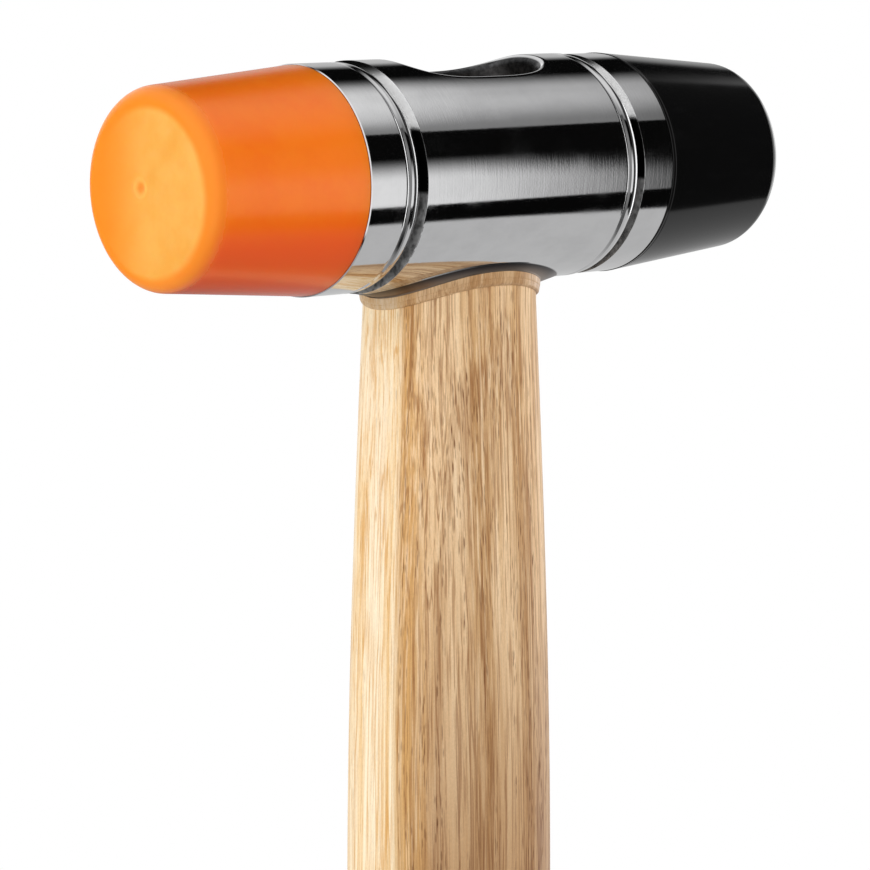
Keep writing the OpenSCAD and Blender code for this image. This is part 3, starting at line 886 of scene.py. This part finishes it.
def handle_tree(material):
    """The handle: an oval that swells from the neck to the grip and again to the knob."""
    pairs = ["Neck", "Grip", "Knob", "Waist", "Eye top"]
    heights = ["Butt round", "Knob height", "Knob top", "Swell length", "Neck height",
               "Eye foot", "Waist height", "End height", "Eye shift"]
    sizes = [f"{pair} {axis}" for pair in pairs for axis in "xy"] + heights
    nodes, size = size_tree("oval_handle", sizes)
    blank = nodes.add("GeometryNodeMeshCylinder", {"fill_type": "TRIANGLE_FAN"}, {
        "Vertices": 192, "Side Segments": 260, "Fill Segments": 14, "Radius": 1.0, "Depth": 1.0})
    x, y, z = nodes.parts(nodes.add("GeometryNodeInputPosition"))
    share = nodes.step(z, -0.5, 0.5)
    height = share * size["End height"]

    def between(low, high):
        return nodes.clamped((height - low) / (high - low))

    swell = nodes.clamped((size["Neck height"] - height) / size["Swell length"])
    swell = nodes.math("SINE", swell * (math.pi / 2))
    knob = nodes.math("MAXIMUM", (size["Knob top"] - height) / (size["Knob top"] - size["Knob height"]), 0.0)
    knob = (1.0 - nodes.math("COSINE", knob * math.pi)) * 0.5
    waist = between(size["Eye foot"], size["Waist height"])
    top = between(size["Waist height"], size["End height"])
    below = nodes.math("MAXIMUM", size["Butt round"] - height, 0.0)
    inset = size["Butt round"] - nodes.math("SQRT", size["Butt round"] ** 2.0 - below ** 2.0)

    def half(axis):
        """Half the oval of the shaft below the eye."""
        neck, grip, bulge = (size[f"{pair} {axis}"] for pair in ("Neck", "Grip", "Knob"))
        return neck + (grip - neck) * swell + (bulge - grip) * knob - inset

    def eye_half(axis):
        """Half the oval of the end in the eye."""
        return size[f"Waist {axis}"] + (size[f"Eye top {axis}"] - size[f"Waist {axis}"]) * top

    radius = nodes.math("SQRT", x ** 2.0 + y ** 2.0)
    turn = nodes.math("ARCTAN2", y, x)

    def rounded(wave, power):
        return nodes.math("SIGN", wave) * nodes.math("ABSOLUTE", wave) ** (2 / power)

    def reach(axis, wave):
        """How far the surface stands from the axis along x or y."""
        shaft = half(axis) * rounded(wave, OVAL_POWER)
        return radius * (shaft + (eye_half(axis) * rounded(wave, EYE_POWER) - shaft) * waist)

    place = nodes.joined(reach("x", nodes.math("COSINE", turn)) + size["Eye shift"] * top,
                         reach("y", nodes.math("SINE", turn)), height)
    shaft = nodes.add("GeometryNodeSetPosition", None, {"Geometry": blank, "Position": place})
    return end_tree(nodes, shaft, material)


def wedge_cutter(name, centre_x, along_x, length, top_t, edge_t, depth):
    """A hidden wedge, edge down, a little larger than the one that stands in the handle's end."""
    half = length / 2 + FIT_CLEAR
    top, edge = top_t / 2 + FIT_CLEAR, edge_t / 2 + FIT_CLEAR
    section = [(-top, CUTTER_RISE), (-top, 0.0), (-edge, -depth - FIT_CLEAR), (edge, -depth - FIT_CLEAR),
               (top, 0.0), (top, CUTTER_RISE)]
    points = []
    for far in (-half, half):
        for across, rise in section:
            x, y = (far, across) if along_x else (across, far)
            points.append(((centre_x + x) * MM, y * MM, (END_H + rise) * MM))
    count = len(section)
    faces = [tuple(range(count)), tuple(range(2 * count - 1, count - 1, -1))]
    faces += [(i, i + count, (i + 1) % count + count, (i + 1) % count) for i in range(count)]
    mesh = bpy.data.meshes.new(name)
    mesh.from_pydata(points, [], faces)
    work = bmesh.new()
    work.from_mesh(mesh)
    bmesh.ops.recalc_face_normals(work, faces=work.faces)
    work.to_mesh(mesh)
    work.free()
    cutter = bpy.data.objects.new(name, mesh)
    bpy.context.scene.collection.objects.link(cutter)
    return cutter


def ash_handle(material):
    """The ash handle, with the saw cut and the slots that its wedges stand in."""
    blank = bpy.data.objects.new("handle_blank", bpy.data.meshes.new("handle_blank"))
    bpy.context.scene.collection.objects.link(blank)
    ovals = {"Neck": NECK, "Grip": GRIP, "Knob": KNOB, "Waist": WAIST, "Eye top": EYE_TOP}
    sizes = {f"{pair} {axis}": half[i] * MM for pair, half in ovals.items() for i, axis in enumerate("xy")}
    sizes.update({
        "Butt round": BUTT_ROUND * MM, "Knob height": KNOB_H * MM, "Knob top": KNOB_TOP_H * MM,
        "Swell length": SWELL_LEN * MM, "Neck height": COLLAR_LOW_H * MM,
        "Eye foot": (UNDER_H + ROOT_DEPTH) * MM,
        "Waist height": WAIST_H * MM, "End height": END_H * MM, "Eye shift": EYE_SHIFT * MM})
    add_tree(blank, handle_tree(material), sizes)
    steel = (False, STEEL_WEDGE_W, STEEL_WEDGE_T, STEEL_WEDGE_EDGE_T, STEEL_WEDGE_DEPTH)
    cutters = [
        wedge_cutter("saw_cut", 0.0, True, 2 * HALF_LEN, WOOD_WEDGE_T, WOOD_WEDGE_EDGE_T, KERF_DEPTH),
        wedge_cutter("slot_left", EYE_SHIFT - STEEL_WEDGE_GAP / 2, *steel),
        wedge_cutter("slot_right", EYE_SHIFT + STEEL_WEDGE_GAP / 2, *steel)]
    for cutter in cutters:
        cut = blank.modifiers.new(cutter.name, "BOOLEAN")
        cut.operation = "DIFFERENCE"
        cut.solver = "EXACT"
        cut.object = cutter
    handle = made_plain(blank, "handle_ash", material, 40.0)
    for cutter in cutters:
        bpy.data.objects.remove(cutter)
    return handle


chrome = chrome_finish()
steel = steel_finish()
ash = ash_finish()
orange = plastic_finish()
rubber = rubber_finish()
resin = resin_finish()
wedge_wood = wedge_wood_finish()

threads = thread_tree(steel)
pieces = [
    (head_skin(chrome), "hammer_body", "head_body", "chrome"),
    (ash_handle(ash), "hammer_body", "handle", "ash_wood"),
    (collar_ring(resin), "hammer_body", "resin_collar", "clear_resin"),
    (struck_face("face_plastic", "plastic_face", orange, dimple=GATE_DEPTH),
     "plastic_face", "plastic_face", "orange_plastic"),
    (struck_face("face_rubber", "rubber_face", rubber, RUBBER_SCORE),
     "rubber_face", "rubber_face", "black_rubber"),
    (threaded_stud("stud_plastic", -1, steel, threads), "plastic_stud", "plastic_face_stud", "bare_steel"),
    (threaded_stud("stud_rubber", 1, steel, threads), "rubber_stud", "rubber_face_stud", "bare_steel"),
]
for piece, body, node, slot in pieces:
    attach(piece, body)
    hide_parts(node)

for node, material in {"wood_wedge": wedge_wood, "steel_wedges": steel}.items():
    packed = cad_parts[node]
    packed.data.materials.clear()
    packed.data.materials.append(material)


# Stage, light and camera

def studio_floor():
    """A pale floor: lit near the hammer, so that it keeps the shadow, and plain white further out."""
    mesh = bpy.data.meshes.new("floor")
    half = FLOOR_HALF_M
    corners = [(-half, -half, 0), (half, -half, 0), (half, half, 0), (-half, half, 0)]
    mesh.from_pydata(corners, [], [(0, 1, 2, 3)])
    floor = bpy.data.objects.new("floor", mesh)
    bpy.context.scene.collection.objects.link(floor)
    finish = Finish("floor_white")
    away = finish.vector("LENGTH", finish.place, output=1)
    lit = finish.add("ShaderNodeBsdfDiffuse", None, {"Color": (0.82, 0.82, 0.82, 1)})
    white = finish.add("ShaderNodeEmission", None, {"Color": (1, 1, 1, 1), "Strength": 1.0})
    shown = finish.add("ShaderNodeLightPath", None, None, "Is Camera Ray")
    mixed = finish.add("ShaderNodeMixShader", None, {
        0: shown * finish.step(away, FLOOR_LIT, FLOOR_PLAIN), 1: lit, 2: white})
    finish.add("ShaderNodeOutputMaterial", None, {"Surface": mixed})
    mesh.materials.append(finish.material)
    floor.visible_glossy = False
    floor.visible_diffuse = False


def studio_world():
    """Soft even light, and for mirror-bright surfaces the light and dark panels of a studio."""
    world = bpy.data.worlds.new("studio")
    world.use_nodes = True
    bpy.context.scene.world = world
    sky = Nodes(world.node_tree)
    direction = sky.add("ShaderNodeTexCoord", None, None, "Generated")
    x, y, z = sky.parts(direction)
    angle = sky.math("ARCTAN2", z, -y) * (180 / math.pi)

    def panel(edges, level):
        """A panel about the head's axis: it brightens over two angles and darkens over two more."""
        low, full, full_end, high = edges
        return sky.step(angle, low, full) * sky.step(angle, high, full_end) * level

    def reach(start, full):
        return sky.step(x, start, full)

    right_side = reach(-0.10, 0.20)
    left_side = reach(-0.22, -0.34)
    not_left = reach(-0.34, -0.22)
    far_right = sky.math("MAXIMUM", x - 0.684, 0.0)
    plastic_side = reach(0.46, 0.52) * reach(0.64, 0.58)
    overhead = reach(0.76, 0.70) * not_left * (1 - 0.4 * plastic_side)

    back_wall = panel((140.0, 156.0, 200.0, 201.0), 0.58) * right_side
    back_fill = panel((122.0, 134.0, 200.0, 201.0), 0.95) * reach(0.52, 0.44) * reach(-0.30, -0.15)
    ceiling_edge = panel((45.5, 47.0, 60.0, 90.0), 0.28) * overhead
    ceiling = panel((50.0, 84.0, 90.0, 114.0), 0.60) * overhead
    ceiling_fill = panel((46.0, 62.0, 100.0, 119.0), 0.34) * reach(0.69, 0.66) * overhead
    front_strip = panel((-28.0, -26.0, 200.0, 201.0), 1.08) * reach(0.735, 0.668) * reach(0.44, 0.49)
    front_strip = front_strip * sky.step(angle + 420.0 * far_right, 21.0, -2.0)
    front_fill = panel((-60.0, -20.0, 20.0, 60.0), 0.30) * reach(0.42, 0.30) * not_left
    table = sky.step(angle + 126.0 * far_right, -43.0, -46.5) * right_side * 0.65
    table = table * (1 - 0.75 * plastic_side)
    table_fill = sky.step(angle, -60.0, -75.0) * sky.step(angle, -158.0, -140.0) * reach(0.10, -0.20) * 0.50
    left_wall = panel((-60.0, -50.0, 118.0, 128.0), 1.20) * left_side
    left_back = panel((118.0, 130.0, 140.0, 158.0), 0.60) * left_side
    end_wall = reach(0.915, 0.94) * 1.60 + reach(0.76, 0.82) * 0.06
    end_back = panel((104.0, 112.0, 200.0, 201.0), 0.80) * reach(0.79, 0.81)
    level = (back_wall + back_fill + ceiling_edge + ceiling + ceiling_fill + front_strip + front_fill
             + table + table_fill + left_wall + left_back + end_wall + end_back + SKY_DARKEST)
    glossy = sky.add("ShaderNodeLightPath", None, None, "Is Glossy Ray")
    camera = sky.add("ShaderNodeLightPath", None, None, "Is Camera Ray")
    level = level * glossy + sky.step(z, -0.7, 0.7, SKY_LOW, SKY_HIGH) * (1 - glossy)
    level = level * (1 - camera) + camera
    grey = sky.joined(level, level, level)
    backdrop = sky.add("ShaderNodeBackground", None, {"Color": grey, "Strength": 1.0})
    sky.add("ShaderNodeOutputWorld", None, {"Surface": backdrop})


def soft_lamp(name, place, aim, size, power):
    """A square soft lamp at a place in metres, turned towards its aim."""
    light = bpy.data.lights.new(name, "AREA")
    light.shape = "SQUARE"
    light.size = size
    light.energy = power
    lamp = bpy.data.objects.new(name, light)
    lamp.location = place
    lamp.rotation_euler = (Vector(aim) - Vector(place)).to_track_quat("-Z", "Y").to_euler()
    lamp.visible_glossy = False
    bpy.context.scene.collection.objects.link(lamp)


def studio_camera():
    """The photograph's view of the head, from the plastic end and a little above."""
    yaw, pitch = math.radians(CAMERA_YAW), math.radians(CAMERA_PITCH)
    ahead = Vector((math.sin(yaw) * math.cos(pitch), math.cos(yaw) * math.cos(pitch), -math.sin(pitch)))
    right = Vector((math.cos(yaw), -math.sin(yaw), 0.0))
    up = right.cross(ahead)
    view = bpy.data.cameras.new("camera")
    view.sensor_width = SENSOR_W
    view.lens = CAMERA_LENS
    view.clip_start = 0.01
    view.clip_end = 20.0
    camera = bpy.data.objects.new("camera", view)
    turn = Matrix((right, up, -ahead)).transposed().to_4x4()
    place = Vector(CAMERA_FROM_HEAD) * MM + Vector(HEAD_CENTRE)
    camera.matrix_world = Matrix.Translation(place) @ turn
    bpy.context.scene.collection.objects.link(camera)
    bpy.context.scene.camera = camera


studio_floor()
studio_world()
soft_lamp("key_lamp", (-0.85, 0.20, 0.26), HEAD_CENTRE, 0.5, 4.6)
soft_lamp("fill_lamp", (0.25, -0.75, 0.45), HEAD_CENTRE, 0.6, 3.3)
studio_camera()
bpy.context.scene.view_settings.view_transform = "Standard"
